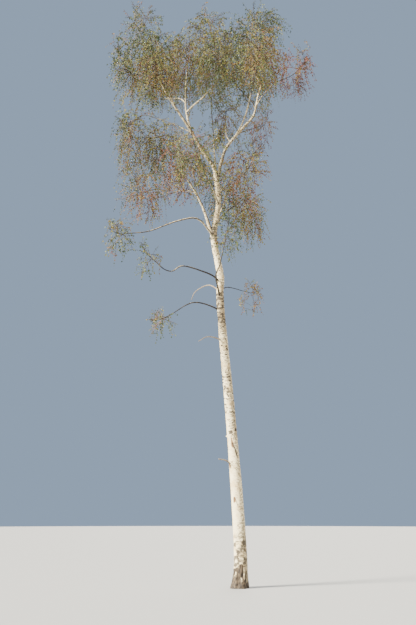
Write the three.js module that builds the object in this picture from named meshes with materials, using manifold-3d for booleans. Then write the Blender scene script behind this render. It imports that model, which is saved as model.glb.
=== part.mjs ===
// A silver birch about 16 m tall, in early autumn leaf: a slim white trunk that leans and wavers up to a
// fork, the boughs that it carries, and the separate masses of weeping foliage at the ends of the boughs.
// Millimetres, +Z up. The origin is the middle of the flat cut at ground level, and the tree is seen
// along +Y.
import * as THREE from "three";
import { mergeVertices } from "three/addons/utils/BufferGeometryUtils.js";
import Module from "manifold-3d";

const wasm = await Module();
wasm.setup();

// Trunk: its radius falls evenly from the foot to the fork, and swells into a root flare near the ground
const FOOT_RADIUS = 155;
const FORK_RADIUS = 62;
const FORK_NARROWING = 0.3;
const FORK_START = 0.97;
const FLARE = 66;
const FLARE_HEIGHT = 260;
const ROOTS = 5;
const ROOT_RIDGE = 14;
const LEAN_SIDE_FLARE = 45;
const TRUNK_SIDES = 14;
const TRUNK_RINGS = 22;
const TRUNK_RING_CROWDING = 1.4;

// Boughs: a little swollen where they leave what carries them
const COLLAR = 0.3;
const COLLAR_LENGTH = 3;
const BOUGH_SIDES = 6;
const SLIM_RADIUS = 27;
const SLIM_SIDES = 5;
const RING_SPACING = 380;
const FEWEST_RINGS = 4;

// Foliage: a stem carries on from a bough, its twigs reach out through the mass, and the twigs carry
// blades, each of which stands for a spray of leaves. Radii and the spacing are lengths. The other values
// are shares, and a pair is the range that a share is drawn from.
const STEM = { tipRadius: 7, sides: 4, rings: 4, reach: 0.8, lift: 0.6, straight: 0.35, middle: 0.3 };
const TWIG = {
  spacing: 150,
  radius: 9,
  tipRadius: 4,
  sides: 3,
  rings: 2,
  reach: [0.8, 0.97],
  shorter: [1, 0.85, 0.7, 0.55],
  foot: 0.5,
  footRise: 0.36,
  footStray: [-0.06, 0.06],
  arch: 0.28,
};
const SPRAY = {
  perTwig: 5,
  start: 0.3,
  stemStart: 0.55,
  length: 0.95,
  lengthRange: [0.85, 1.15],
  width: 0.6,
  belly: 0.4,
  thickness: 0.018,
  attempts: 14,
  shrink: 0.94,
  onward: [0.3, 0.8],
  outward: [0.2, 0.8],
  hang: [0.5, 1.1],
  lessHang: 0.3,
  facing: [-1, 1],
  facingUp: [-0.4, 0.4],
};
const GOLDEN_ANGLE = Math.PI * (3 - Math.sqrt(5));

const GAP = 0.3;
const UP = new THREE.Vector3(0, 0, 1);

// Each limb: the limb it grows from, how far along that it sets out as a share of its length, its radius
// at the foot and at the tip, and the knees it grows through, the last of them its tip.
const LIMBS = {
  trunk: {
    knees: [
      [0, 0, 0], [0, 0, 680], [-60, 0, 1870], [-210, 30, 4010], [-380, 60, 6070], [-440, 60, 7040],
      [-420, 50, 7480], [-490, 40, 7920], [-590, 20, 8540], [-570, 0, 8930], [-470, -30, 9560],
      [-520, 0, 10420],
    ],
  },
  left_leader: {
    on: "trunk", at: 0.98, radius: [54, 20],
    knees: [
      [-610, -40, 10710], [-870, -150, 11050], [-1240, -330, 11660], [-1910, -560, 12680],
      [-2110, -650, 13080],
    ],
  },
  right_leader: {
    on: "trunk", at: 0.98, radius: [48, 20],
    knees: [
      [-410, 50, 10760], [-280, 120, 11270], [-110, 180, 11590], [290, 300, 12170], [560, 380, 12570],
      [720, 450, 13320], [810, 480, 13690], [670, 500, 14010],
    ],
  },
  centre_leader: {
    on: "left_leader", at: 0.48, radius: [32, 16],
    knees: [[-1310, -100, 12120], [-1380, 100, 12640], [-1400, 450, 13700], [-1370, 500, 14150]],
  },
  crossing_bough: {
    on: "centre_leader", at: 0.34, radius: [23, 12],
    knees: [[-1150, -250, 12490], [-910, -550, 12510], [-510, -1000, 12670]],
  },
  centre_top_bough: {
    on: "centre_leader", at: 0.74, radius: [16, 10],
    knees: [[-1250, 400, 13940], [-900, 300, 14770]],
  },
  back_left_bough: {
    on: "centre_leader", at: 0.5, radius: [17, 10],
    knees: [[-1570, 500, 13230], [-2060, 1050, 13620], [-2300, 1300, 13900]],
  },
  upper_left_bough: {
    on: "left_leader", at: 0.83, radius: [17, 10],
    knees: [[-2060, -750, 12620], [-2490, -1050, 12630]],
  },
  left_front_bough: {
    on: "left_leader", at: 0.71, radius: [18, 11],
    knees: [[-1740, -900, 12280], [-1940, -1480, 12620]],
  },
  left_curtain_bough: {
    on: "left_leader", at: 0.47, radius: [15, 9],
    knees: [[-1360, -100, 11800], [-1860, 450, 12390], [-2580, 800, 12880]],
  },
  left_back_bough: {
    on: "trunk", at: 0.956, radius: [26, 12],
    knees: [[-610, 200, 10470], [-830, 350, 10830], [-1250, 850, 11840], [-1960, 1300, 12520]],
  },
  centre_back_bough: {
    on: "trunk", at: 0.965, radius: [28, 12],
    knees: [[-540, 380, 10900], [-570, 850, 11870], [-630, 1600, 13450]],
  },
  right_outer_bough: {
    on: "right_leader", at: 0.73, radius: [17, 10],
    knees: [[810, 300, 13150], [1180, 100, 13460], [1540, 50, 13620]],
  },
  right_inner_bough: {
    on: "right_leader", at: 0.7, radius: [15, 9],
    knees: [[540, 300, 12940], [100, -350, 12980]],
  },
  right_front_bough: {
    on: "right_leader", at: 0.35, radius: [24, 12],
    knees: [[70, -250, 11640], [240, -700, 11800], [430, -1500, 12300]],
  },
  right_back_bough: {
    on: "right_leader", at: 0.79, radius: [20, 11],
    knees: [[770, 850, 13600], [710, 1500, 14200]],
  },
  right_side_bough: {
    on: "right_leader", at: 0.44, radius: [15, 9],
    knees: [[440, 440, 12150], [810, 600, 12380]],
  },
  right_inner_stem: {
    on: "right_leader", at: 0.345, radius: [16, 9],
    knees: [[-220, 300, 11860], [-240, 650, 12850]],
  },
  fork_right_bough: {
    on: "trunk", at: 0.94, radius: [15, 9],
    knees: [[-310, -250, 9960], [90, -650, 10020]],
  },
  fork_front_bough: {
    on: "trunk", at: 0.914, radius: [23, 12],
    knees: [[-590, -500, 9680], [-920, -1450, 9900]],
  },
  second_stem: {
    on: "trunk", at: 0.82, radius: [48, 20],
    knees: [[-720, -60, 8910], [-840, -150, 9270], [-1060, -280, 9740], [-1230, -360, 9990]],
  },
  second_stem_side: {
    on: "second_stem", at: 0.79, radius: [15, 9],
    knees: [[-1180, -150, 9870], [-1550, 250, 10100], [-2270, 720, 10090]],
  },
  long_left_bough: {
    on: "trunk", at: 0.827, radius: [24, 11],
    knees: [
      [-1020, -420, 8940], [-1520, -750, 8730], [-1790, -850, 8580], [-2240, -1000, 8330],
      [-2690, -1100, 8230],
    ],
  },
  right_low_bough: {
    on: "trunk", at: 0.846, radius: [21, 11],
    knees: [[-370, 100, 9270], [190, 400, 9900]],
  },
  back_bough: {
    on: "trunk", at: 0.819, radius: [26, 13],
    knees: [[-590, 500, 9100], [-280, 1400, 10280]],
  },
  wavy_bough: {
    on: "trunk", at: 0.703, radius: [24, 11],
    knees: [
      [-600, -120, 7460], [-880, -350, 7510], [-1410, -700, 7520], [-1640, -820, 7340],
      [-1820, -950, 7340], [-2020, -1050, 7490],
    ],
  },
  arch_bough: {
    on: "trunk", at: 0.682, radius: [18, 9],
    knees: [[-740, 450, 7420], [-1120, 900, 7360], [-1200, 1000, 7190]],
  },
  front_bough: {
    on: "trunk", at: 0.66, radius: [25, 12],
    knees: [[-500, -200, 7140], [-550, -400, 7370], [-450, -600, 7610], [-390, -700, 7870]],
  },
  right_mid_bough: {
    on: "trunk", at: 0.68, radius: [15, 8],
    knees: [[-280, 200, 7270], [220, 700, 7340]],
  },
  low_left_bough: {
    on: "trunk", at: 0.6275, radius: [21, 10],
    knees: [[-600, 0, 6660], [-1110, -250, 6710], [-1670, -500, 6320]],
  },
  small_left_bough: {
    on: "trunk", at: 0.5525, radius: [19, 8],
    knees: [[-510, -100, 5810], [-770, -300, 5800], [-980, -450, 5650]],
  },
  dead_stub: {
    on: "trunk", at: 0.2535, radius: [21, 11],
    knees: [[-320, -140, 2810], [-500, -220, 2840]],
  },
};

// Each mass of foliage: the limb whose tip carries its stem, and the middle and half sizes of the space
// it keeps to.
const MASSES = {
  left_top: { on: "left_leader", centre: [-2600, -750, 14180], reach: [760, 1050, 1230] },
  left_outer: { on: "upper_left_bough", centre: [-2920, -1000, 13170], reach: [610, 890, 1180] },
  left_front: { on: "left_front_bough", centre: [-2030, -1500, 12990], reach: [780, 890, 1060] },
  left_curtain: { on: "left_curtain_bough", centre: [-3050, 700, 11940], reach: [740, 920, 1180] },
  left_back: { on: "back_left_bough", centre: [-2400, 1400, 14570], reach: [940, 1000, 1180] },
  left_low_back: { on: "left_back_bough", centre: [-2190, 1350, 12060], reach: [920, 1000, 1140] },
  centre_left: { on: "centre_leader", centre: [-1450, 500, 14270], reach: [930, 1000, 1430] },
  centre_top: { on: "centre_top_bough", centre: [-780, 200, 15070], reach: [840, 1000, 1070] },
  centre_front: { on: "crossing_bough", centre: [-620, -1150, 13220], reach: [800, 890, 1120] },
  centre_back: { on: "centre_back_bough", centre: [-590, 1650, 14660], reach: [940, 890, 1180] },
  right_top: { on: "right_leader", centre: [770, 150, 15270], reach: [950, 1050, 1100] },
  right_outer: { on: "right_outer_bough", centre: [1820, 0, 13780], reach: [660, 840, 780] },
  right_inner: { on: "right_inner_bough", centre: [100, -500, 13900], reach: [750, 840, 1250] },
  right_front: { on: "right_front_bough", centre: [620, -1600, 12950], reach: [780, 890, 1130] },
  right_back: { on: "right_back_bough", centre: [760, 1650, 14770], reach: [910, 890, 1260] },
  right_side: { on: "right_side_bough", centre: [760, 700, 12300], reach: [540, 740, 920] },
  right_inner_low: { on: "right_inner_stem", centre: [-180, 750, 12560], reach: [660, 740, 980] },
  fork_right: { on: "fork_right_bough", centre: [200, -700, 10140], reach: [650, 770, 890] },
  fork_front: { on: "fork_front_bough", centre: [-1000, -1500, 10090], reach: [760, 890, 1060] },
  second_stem_top: { on: "second_stem", centre: [-1450, -450, 10290], reach: [720, 830, 940] },
  far_left_low: { on: "second_stem_side", centre: [-2560, 900, 10400], reach: [850, 890, 1040] },
  long_bough_tip: { on: "long_left_bough", centre: [-2900, -1150, 8080], reach: [440, 640, 720] },
  right_low: { on: "right_low_bough", centre: [380, 500, 9400], reach: [630, 790, 1010] },
  back_low: { on: "back_bough", centre: [-220, 1500, 10550], reach: [880, 890, 1190] },
  front_low: { on: "front_bough", centre: [-280, -850, 8250], reach: [460, 630, 700] },
  wavy_tip: { on: "wavy_bough", centre: [-2190, -1100, 7550], reach: [400, 550, 560] },
  right_mid: { on: "right_mid_bough", centre: [420, 800, 7200], reach: [390, 550, 600] },
  low_left_tip: { on: "low_left_bough", centre: [-1880, -500, 6100], reach: [400, 500, 480] },
};

const BARK = new THREE.MeshStandardMaterial({ color: 0xe4ddcf, roughness: 0.75, metalness: 0 });
const LEAF = new THREE.MeshStandardMaterial({ color: 0x7f8238, roughness: 0.7, metalness: 0 });

const vector = (list) => new THREE.Vector3(...list);
const mix = THREE.MathUtils.lerp;

// A repeatable run of numbers: each call gives the next one, between low and high.
function dice(seed) {
  const modulus = 2147483647;
  let state = seed * 7919;
  return ([low, high]) => {
    state = (state * 16807) % modulus;
    return mix(low, high, state / modulus);
  };
}

// A closed three.js geometry as a solid that can be cut and joined.
function solidOf(geometry) {
  geometry.deleteAttribute("normal");
  geometry.deleteAttribute("uv");
  const merged = mergeVertices(geometry, 1e-3);
  return new wasm.Manifold(
    new wasm.Mesh({
      numProp: 3,
      vertProperties: merged.attributes.position.array,
      triVerts: new Uint32Array(merged.index.array),
    }),
  );
}

// A closed solid with a ring of vertices at each section, which has a middle, two cross directions and a
// radius.
function ringedSolid(sections, sides) {
  const rings = sections.length - 1;
  const geometry = new THREE.CylinderGeometry(1, 1, 1, sides, rings);
  const place = geometry.attributes.position;
  for (let i = 0; i < place.count; i++) {
    const { middle, across, over, radius } = sections[Math.round((place.getY(i) + 0.5) * rings)];
    const size = radius(Math.atan2(-place.getZ(i), place.getX(i)));
    const point = middle
      .clone()
      .addScaledVector(across, place.getX(i) * size)
      .addScaledVector(over, place.getZ(i) * size);
    place.setXYZ(i, point.x, point.y, point.z);
  }
  return solidOf(geometry);
}

// A tapering solid along a curve, with a radius for each share of its length.
function taperedSolid(curve, radiusAt, sides, rings) {
  const frames = curve.computeFrenetFrames(rings, false);
  const sections = Array.from({ length: rings + 1 }, (_, k) => ({
    middle: curve.getPointAt(k / rings),
    across: frames.binormals[k],
    over: frames.normals[k],
    radius: () => radiusAt(k / rings),
  }));
  return ringedSolid(sections, sides);
}

// The trunk keeps level rings, so that its foot is a flat cut. The flare rises in ridges, most of all on
// the side that the trunk leans to.
function trunkRadius(share, height, angle) {
  const swell = Math.exp(-height / FLARE_HEIGHT);
  const ridges = ROOT_RIDGE * Math.cos(ROOTS * angle) - LEAN_SIDE_FLARE * Math.cos(angle);
  const blunt = FORK_NARROWING * THREE.MathUtils.smoothstep(share, FORK_START, 1);
  return mix(FOOT_RADIUS, FORK_RADIUS, share) * (1 - blunt) + swell * (FLARE + ridges);
}

function trunkSolid(curve, grow) {
  const sections = Array.from({ length: TRUNK_RINGS + 1 }, (_, k) => {
    const share = (k / TRUNK_RINGS) ** TRUNK_RING_CROWDING;
    const middle = curve.getPointAt(share);
    return {
      middle,
      across: new THREE.Vector3(1, 0, 0),
      over: new THREE.Vector3(0, -1, 0),
      radius: (angle) => trunkRadius(share, middle.z, angle) + grow,
    };
  });
  return ringedSolid(sections, TRUNK_SIDES);
}

function boughSolid(curve, [foot, tip], grow) {
  const length = curve.getLength();
  const collar = (share) => COLLAR * foot * Math.exp((-share * length) / (COLLAR_LENGTH * foot));
  const rings = Math.max(FEWEST_RINGS, Math.round(length / RING_SPACING));
  const sides = foot > SLIM_RADIUS ? BOUGH_SIDES : SLIM_SIDES;
  return taperedSolid(curve, (share) => mix(foot, tip, share) + collar(share) + grow, sides, rings);
}

// Only the largest piece of a solid, without the scraps that a cut or a join leaves loose.
function largestPiece(solid) {
  return solid.decompose().reduce((best, piece) => (piece.volume() > best.volume() ? piece : best));
}

// The line that each limb grows along. A bough starts inside what carries it.
const limbLines = {};
for (const [name, { on, at, knees }] of Object.entries(LIMBS)) {
  const foot = on ? [limbLines[on].getPointAt(at)] : [];
  limbLines[name] = new THREE.CatmullRomCurve3([...foot, ...knees.map(vector)]);
}

// Every limb, cut clear of the limbs made before it. "timber" is all of them, a gap larger.
const limbSolids = {};
let timber = null;
for (const [name, { on, radius }] of Object.entries(LIMBS)) {
  const line = limbLines[name];
  const make = (grow) => (on ? boughSolid(line, radius, grow) : trunkSolid(line, grow));
  limbSolids[name] = timber ? largestPiece(make(0).subtract(timber)) : make(0);
  timber = timber ? timber.add(make(GAP)) : make(GAP);
}

// How far out in a mass's space a point lies: 0 in the middle, 1 at the edge of its reach.
function outness(point, { centre, reach }) {
  const steps = [point.x, point.y, point.z].map((value, axis) => (value - centre[axis]) / reach[axis]);
  return Math.hypot(...steps);
}

// A mass's own space is inside its reach and further in it than in any other mass's.
function inOwnSpace(point, mass) {
  const own = outness(point, mass);
  return own < 1 && Object.values(MASSES).every((other) => other === mass || outness(point, other) > own);
}

const meanReach = ({ reach }) => (reach[0] + reach[1] + reach[2]) / 3;

// The stem carries on from the bough's tip, a gap clear of it, and bends up towards the far top of the
// reach.
function stemLine(mass) {
  const bough = limbLines[mass.on];
  const heading = bough.getTangentAt(1);
  const start = bough.getPointAt(1).addScaledVector(heading, GAP + 0.1);
  const middle = vector(mass.centre);
  const reach = vector(mass.reach);
  const out = heading.clone().divide(reach).normalize().addScaledVector(UP, STEM.lift).normalize();
  const end = out.multiply(reach).multiplyScalar(STEM.reach).add(middle);
  const bend = start.clone().addScaledVector(heading, STEM.straight * start.distanceTo(end));
  return new THREE.CubicBezierCurve3(start, bend, middle.clone().lerp(end, STEM.middle), end);
}

// The twigs of a mass leave its stem, rise over and hang out to points spread evenly over the mass's
// reach. One whose tip would be in another mass's space is shorter.
function twigLines(mass, stem, roll) {
  const middle = vector(mass.centre);
  const count = Math.round(meanReach(mass) / TWIG.spacing);
  const turn = roll([0, 2 * Math.PI]);
  const found = [];
  for (let i = 0; i < count; i++) {
    const rise = 1 - (2 * i + 1) / count;
    const bearing = turn + i * GOLDEN_ANGLE;
    const level = Math.sqrt(1 - rise * rise);
    const out = new THREE.Vector3(level * Math.cos(bearing), level * Math.sin(bearing), rise);
    const far = out.multiply(vector(mass.reach)).multiplyScalar(roll(TWIG.reach));
    const foot = stem.getPoint(TWIG.foot + TWIG.footRise * rise + roll(TWIG.footStray));
    const tips = TWIG.shorter.map((share) => far.clone().multiplyScalar(share).add(middle));
    const tip = tips.find((point) => inOwnSpace(point, mass));
    if (!tip) continue;
    const top = foot.clone().lerp(tip, 0.5).addScaledVector(UP, TWIG.arch * foot.distanceTo(tip));
    found.push(new THREE.QuadraticBezierCurve3(foot, top, tip));
  }
  return found;
}

// One blade in the outline of a birch leaf and 1 long, its root at the origin and its point along +Y:
// flat behind, with a ridge down the front.
function sprayBlade() {
  const geometry = new THREE.SphereGeometry(1, 3, 2);
  const place = geometry.attributes.position;
  for (let i = 0; i < place.count; i++) {
    const along = [0, SPRAY.belly, 1][Math.round(place.getY(i)) + 1];
    const across = place.getZ(i) / Math.sin((2 * Math.PI) / 3) / 2;
    const deep = (0.5 - place.getX(i)) / 1.5;
    place.setXYZ(i, across * SPRAY.width, along, deep * SPRAY.thickness);
  }
  return solidOf(geometry);
}
const BLADE = sprayBlade();

// A blade that hangs down and outwards from a place on a twig, to one side of it. Each further attempt is
// smaller and hangs less.
function bladeAt(twig, share, side, length, attempt, roll) {
  const along = twig.getTangent(share);
  const sideways = new THREE.Vector3().crossVectors(along, UP).normalize();
  const heading = along
    .clone()
    .multiplyScalar(roll(SPRAY.onward))
    .addScaledVector(sideways, side * roll(SPRAY.outward))
    .addScaledVector(UP, SPRAY.lessHang * attempt - roll(SPRAY.hang))
    .normalize();
  const facing = new THREE.Vector3(roll(SPRAY.facing), roll(SPRAY.facing), roll(SPRAY.facingUp));
  const width = facing.cross(heading).normalize();
  const face = new THREE.Vector3().crossVectors(width, heading);
  const size = length * roll(SPRAY.lengthRange) * SPRAY.shrink ** attempt;
  const pose = new THREE.Matrix4().makeBasis(width, heading, face).scale(new THREE.Vector3(size, size, size));
  return BLADE.transform(pose.setPosition(twig.getPoint(share)).elements);
}

function cornersOf(solid) {
  const { vertProperties: numbers } = solid.getMesh();
  return Array.from({ length: numbers.length / 3 }, (_, i) => vector(numbers.slice(3 * i, 3 * i + 3)));
}

// A mass: its stem, with the twigs that touch nothing made before it, and on these the blades that keep
// to the mass's space and touch neither that nor one another. A place where no blade fits stays bare.
function massSolid(mass, number, taken) {
  const roll = dice(number + 1);
  const stem = stemLine(mass);
  const stemRadius = (share) => mix(LIMBS[mass.on].radius[1], STEM.tipRadius, share);
  const twigRadius = (share) => mix(TWIG.radius, TWIG.tipRadius, share);
  const wood = [taperedSolid(stem, stemRadius, STEM.sides, STEM.rings)];
  const lines = [stem];
  for (const twig of twigLines(mass, stem, roll)) {
    const solid = taperedSolid(twig, twigRadius, TWIG.sides, TWIG.rings);
    if (!taken.intersect(solid).isEmpty()) continue;
    wood.push(solid);
    lines.push(twig);
  }
  const blades = [];
  lines.forEach((line, i) => {
    let nearby = wasm.Manifold.union([...wood.filter((_, j) => j !== i), ...blades]);
    const fits = (blade) =>
      cornersOf(blade).every((corner) => inOwnSpace(corner, mass)) &&
      nearby.intersect(blade).isEmpty() &&
      taken.intersect(blade).isEmpty();
    for (let k = 0; k < SPRAY.perTwig; k++) {
      const share = mix(i === 0 ? SPRAY.stemStart : SPRAY.start, 1, k / (SPRAY.perTwig - 1));
      for (let attempt = 0; attempt < SPRAY.attempts; attempt++) {
        const blade = bladeAt(line, share, k % 2 ? 1 : -1, SPRAY.length * meanReach(mass), attempt, roll);
        if (!fits(blade)) continue;
        blades.push(blade);
        nearby = nearby.add(blade);
        break;
      }
    }
  });
  return largestPiece(wasm.Manifold.union([...wood, ...blades]));
}

// A solid as a named mesh of the tree.
function meshOf(name, solid, material) {
  const { vertProperties, triVerts } = solid.getMesh();
  const geometry = new THREE.BufferGeometry();
  geometry.setAttribute("position", new THREE.BufferAttribute(new Float32Array(vertProperties), 3));
  geometry.setIndex(new THREE.BufferAttribute(new Uint32Array(triVerts), 1));
  geometry.computeVertexNormals();
  const mesh = new THREE.Mesh(geometry, material);
  mesh.name = name;
  return mesh;
}

const tree = new THREE.Group();
tree.name = "silver_birch";
for (const [name, solid] of Object.entries(limbSolids)) tree.add(meshOf(name, solid, BARK));

let taken = timber;
Object.entries(MASSES).forEach(([name, mass], number) => {
  const solid = massSolid(mass, number, taken);
  taken = taken.add(solid);
  tree.add(meshOf(`foliage_${name}`, solid, LEAF));
});

export default tree;
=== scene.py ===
"""A silver birch about 16 m tall in early autumn leaf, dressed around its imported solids.

The trunk and the boughs get a skin with the bark's relief. Each mass of foliage becomes a stem, arching
twigs, side shoots, hanging whips and leaves, which grow on from the boughs by the rule of the solids,
carried to finer twigs. Metres, +Z up. The photograph's view looks along +Y.
"""

import math
from collections import namedtuple
from types import SimpleNamespace

import bpy
import numpy as np
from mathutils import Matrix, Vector


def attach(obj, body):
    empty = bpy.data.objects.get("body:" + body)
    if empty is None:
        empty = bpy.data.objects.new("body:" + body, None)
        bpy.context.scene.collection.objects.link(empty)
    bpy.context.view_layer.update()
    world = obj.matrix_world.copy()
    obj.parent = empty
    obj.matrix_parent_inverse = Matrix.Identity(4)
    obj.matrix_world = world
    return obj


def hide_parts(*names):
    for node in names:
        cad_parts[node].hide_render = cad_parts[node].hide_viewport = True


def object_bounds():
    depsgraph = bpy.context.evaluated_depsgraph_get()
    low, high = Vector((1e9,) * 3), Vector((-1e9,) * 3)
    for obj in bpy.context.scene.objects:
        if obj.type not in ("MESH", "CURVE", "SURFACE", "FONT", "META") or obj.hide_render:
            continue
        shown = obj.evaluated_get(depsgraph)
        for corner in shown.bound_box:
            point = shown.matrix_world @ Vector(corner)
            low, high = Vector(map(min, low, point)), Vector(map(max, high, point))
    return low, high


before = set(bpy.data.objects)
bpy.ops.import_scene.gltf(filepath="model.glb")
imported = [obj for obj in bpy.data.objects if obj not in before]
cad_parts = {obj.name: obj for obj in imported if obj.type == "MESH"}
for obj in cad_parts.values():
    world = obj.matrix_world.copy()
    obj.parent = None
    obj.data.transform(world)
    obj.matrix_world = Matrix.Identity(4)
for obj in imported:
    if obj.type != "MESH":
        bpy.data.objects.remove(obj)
cad_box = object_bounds()

BODY = "root"
UP = np.array([0.0, 0.0, 1.0])
DOWN = -UP
GOLDEN_ANGLE = math.pi * (3 - math.sqrt(5))
SEED = 11

# Each limb: the limb it grows from, how far along that it sets out as a share of its length, its radius at
# the foot and at the tip, the kind of limb whose bark it is joined with, the knees it grows through, the last
# of them its tip, and how brown its bark still is at the foot and at the tip.
Limb = namedtuple("Limb", "on at radius kind knees brown", defaults=((0, 0),))
LIMBS = {
    "trunk": Limb(None, 0, (0.155, 0.062), "trunk", [
        (0, 0, 0), (0, 0, 0.68), (-0.06, 0, 1.87), (-0.21, 0.03, 4.01), (-0.38, 0.06, 6.07),
        (-0.44, 0.06, 7.04), (-0.42, 0.05, 7.48), (-0.49, 0.04, 7.92), (-0.59, 0.02, 8.54),
        (-0.57, 0, 8.93), (-0.47, -0.03, 9.56), (-0.52, 0, 10.42),
    ]),
    "left_leader": Limb("trunk", 0.98, (0.054, 0.02), "leaders", [
        (-0.61, -0.04, 10.71), (-0.87, -0.15, 11.05), (-1.24, -0.33, 11.66), (-1.91, -0.56, 12.68),
        (-2.11, -0.65, 13.08),
    ]),
    "right_leader": Limb("trunk", 0.98, (0.048, 0.02), "leaders", [
        (-0.41, 0.05, 10.76), (-0.28, 0.12, 11.27), (-0.11, 0.18, 11.59), (0.29, 0.3, 12.17),
        (0.56, 0.38, 12.57), (0.72, 0.45, 13.32), (0.81, 0.48, 13.69), (0.67, 0.5, 14.01),
    ]),
    "centre_leader": Limb("left_leader", 0.48, (0.032, 0.016), "leaders", [
        (-1.31, -0.1, 12.12), (-1.38, 0.1, 12.64), (-1.4, 0.45, 13.7), (-1.37, 0.5, 14.15),
    ]),
    "crossing_bough": Limb("centre_leader", 0.34, (0.023, 0.012), "crown", [
        (-1.15, -0.25, 12.49), (-0.91, -0.55, 12.51), (-0.51, -1, 12.67),
    ]),
    "centre_top_bough": Limb("centre_leader", 0.74, (0.016, 0.01), "crown", [
        (-1.25, 0.4, 13.94), (-0.9, 0.3, 14.77),
    ], (0.1, 0.8)),
    "back_left_bough": Limb("centre_leader", 0.5, (0.017, 0.01), "crown", [
        (-1.57, 0.5, 13.23), (-2.06, 1.05, 13.62), (-2.3, 1.3, 13.9),
    ], (0.2, 0.9)),
    "upper_left_bough": Limb("left_leader", 0.83, (0.017, 0.01), "crown", [
        (-2.06, -0.75, 12.62), (-2.49, -1.05, 12.63),
    ]),
    "left_front_bough": Limb("left_leader", 0.71, (0.018, 0.011), "crown", [
        (-1.74, -0.9, 12.28), (-1.94, -1.48, 12.62),
    ]),
    "left_curtain_bough": Limb("left_leader", 0.47, (0.015, 0.009), "crown", [
        (-1.36, -0.1, 11.8), (-1.86, 0.45, 12.39), (-2.58, 0.8, 12.88),
    ], (0.0, 0.8)),
    "left_back_bough": Limb("trunk", 0.956, (0.026, 0.012), "crown", [
        (-0.61, 0.2, 10.47), (-0.83, 0.35, 10.83), (-1.25, 0.85, 11.84), (-1.96, 1.3, 12.52),
    ], (1.0, 1.0)),
    "centre_back_bough": Limb("trunk", 0.965, (0.028, 0.012), "crown", [
        (-0.54, 0.38, 10.9), (-0.57, 0.85, 11.87), (-0.63, 1.6, 13.45),
    ], (0.2, 0.9)),
    "right_outer_bough": Limb("right_leader", 0.73, (0.017, 0.01), "crown", [
        (0.81, 0.3, 13.15), (1.18, 0.1, 13.46), (1.54, 0.05, 13.62),
    ], (0.0, 0.7)),
    "right_inner_bough": Limb("right_leader", 0.7, (0.015, 0.009), "crown", [
        (0.54, 0.3, 12.94), (0.1, -0.35, 12.98),
    ]),
    "right_front_bough": Limb("right_leader", 0.35, (0.024, 0.012), "crown", [
        (0.07, -0.25, 11.64), (0.24, -0.7, 11.8), (0.43, -1.5, 12.3),
    ]),
    "right_back_bough": Limb("right_leader", 0.79, (0.02, 0.011), "crown", [
        (0.77, 0.85, 13.6), (0.71, 1.5, 14.2),
    ], (0.2, 0.9)),
    "right_side_bough": Limb("right_leader", 0.44, (0.015, 0.009), "crown", [
        (0.44, 0.44, 12.15), (0.81, 0.6, 12.38),
    ], (0.3, 0.9)),
    "right_inner_stem": Limb("right_leader", 0.345, (0.016, 0.009), "crown", [
        (-0.22, 0.3, 11.86), (-0.24, 0.65, 12.85),
    ], (0.1, 0.9)),
    "fork_right_bough": Limb("trunk", 0.94, (0.015, 0.009), "side", [
        (-0.31, -0.25, 9.96), (0.09, -0.65, 10.02),
    ], (0.2, 0.8)),
    "fork_front_bough": Limb("trunk", 0.914, (0.023, 0.012), "side", [
        (-0.59, -0.5, 9.68), (-0.92, -1.45, 9.9),
    ]),
    "second_stem": Limb("trunk", 0.82, (0.048, 0.02), "leaders", [
        (-0.72, -0.06, 8.91), (-0.84, -0.15, 9.27), (-1.06, -0.28, 9.74), (-1.23, -0.36, 9.99),
    ]),
    "second_stem_side": Limb("second_stem", 0.79, (0.015, 0.009), "side", [
        (-1.18, -0.15, 9.87), (-1.55, 0.25, 10.1), (-2.27, 0.72, 10.09),
    ]),
    "long_left_bough": Limb("trunk", 0.827, (0.024, 0.011), "side", [
        (-1.02, -0.42, 8.94), (-1.52, -0.75, 8.73), (-1.79, -0.85, 8.58), (-2.24, -1, 8.33),
        (-2.69, -1.1, 8.23),
    ]),
    "right_low_bough": Limb("trunk", 0.846, (0.021, 0.011), "side", [
        (-0.37, 0.1, 9.27), (0.19, 0.4, 9.9),
    ], (0.2, 0.8)),
    "back_bough": Limb("trunk", 0.819, (0.026, 0.013), "side", [(-0.59, 0.5, 9.1), (-0.28, 1.4, 10.28)]),
    "wavy_bough": Limb("trunk", 0.703, (0.024, 0.011), "side", [
        (-0.6, -0.12, 7.46), (-0.88, -0.35, 7.51), (-1.41, -0.7, 7.52), (-1.64, -0.82, 7.34),
        (-1.82, -0.95, 7.34), (-2.02, -1.05, 7.49),
    ], (0.95, 0.4)),
    "arch_bough": Limb("trunk", 0.682, (0.018, 0.009), "dead", [
        (-0.74, 0.45, 7.42), (-1.12, 0.9, 7.36), (-1.2, 1, 7.19),
    ]),
    "front_bough": Limb("trunk", 0.66, (0.025, 0.012), "side", [
        (-0.5, -0.2, 7.14), (-0.55, -0.4, 7.37), (-0.45, -0.6, 7.61), (-0.39, -0.7, 7.87),
    ], (1.0, 1.0)),
    "right_mid_bough": Limb("trunk", 0.68, (0.015, 0.008), "side", [
        (-0.28, 0.2, 7.27), (0.22, 0.7, 7.34),
    ], (0.85, 0.85)),
    "low_left_bough": Limb("trunk", 0.6275, (0.021, 0.01), "side", [
        (-0.6, 0, 6.66), (-1.11, -0.25, 6.71), (-1.67, -0.5, 6.32),
    ], (0.9, 0.45)),
    "small_left_bough": Limb("trunk", 0.5525, (0.019, 0.008), "dead", [
        (-0.51, -0.1, 5.81), (-0.77, -0.3, 5.8), (-0.98, -0.45, 5.65),
    ]),
    "dead_stub": Limb("trunk", 0.2535, (0.021, 0.011), "dead", [(-0.32, -0.14, 2.81), (-0.5, -0.22, 2.84)]),
}

# The piece of bark, or of bare wood, for each kind of limb other than the trunk
PIECES = {
    "leaders": "leaders_bark", "crown": "crown_boughs_bark", "side": "side_boughs_bark", "dead": "dead_wood",
}

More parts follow.
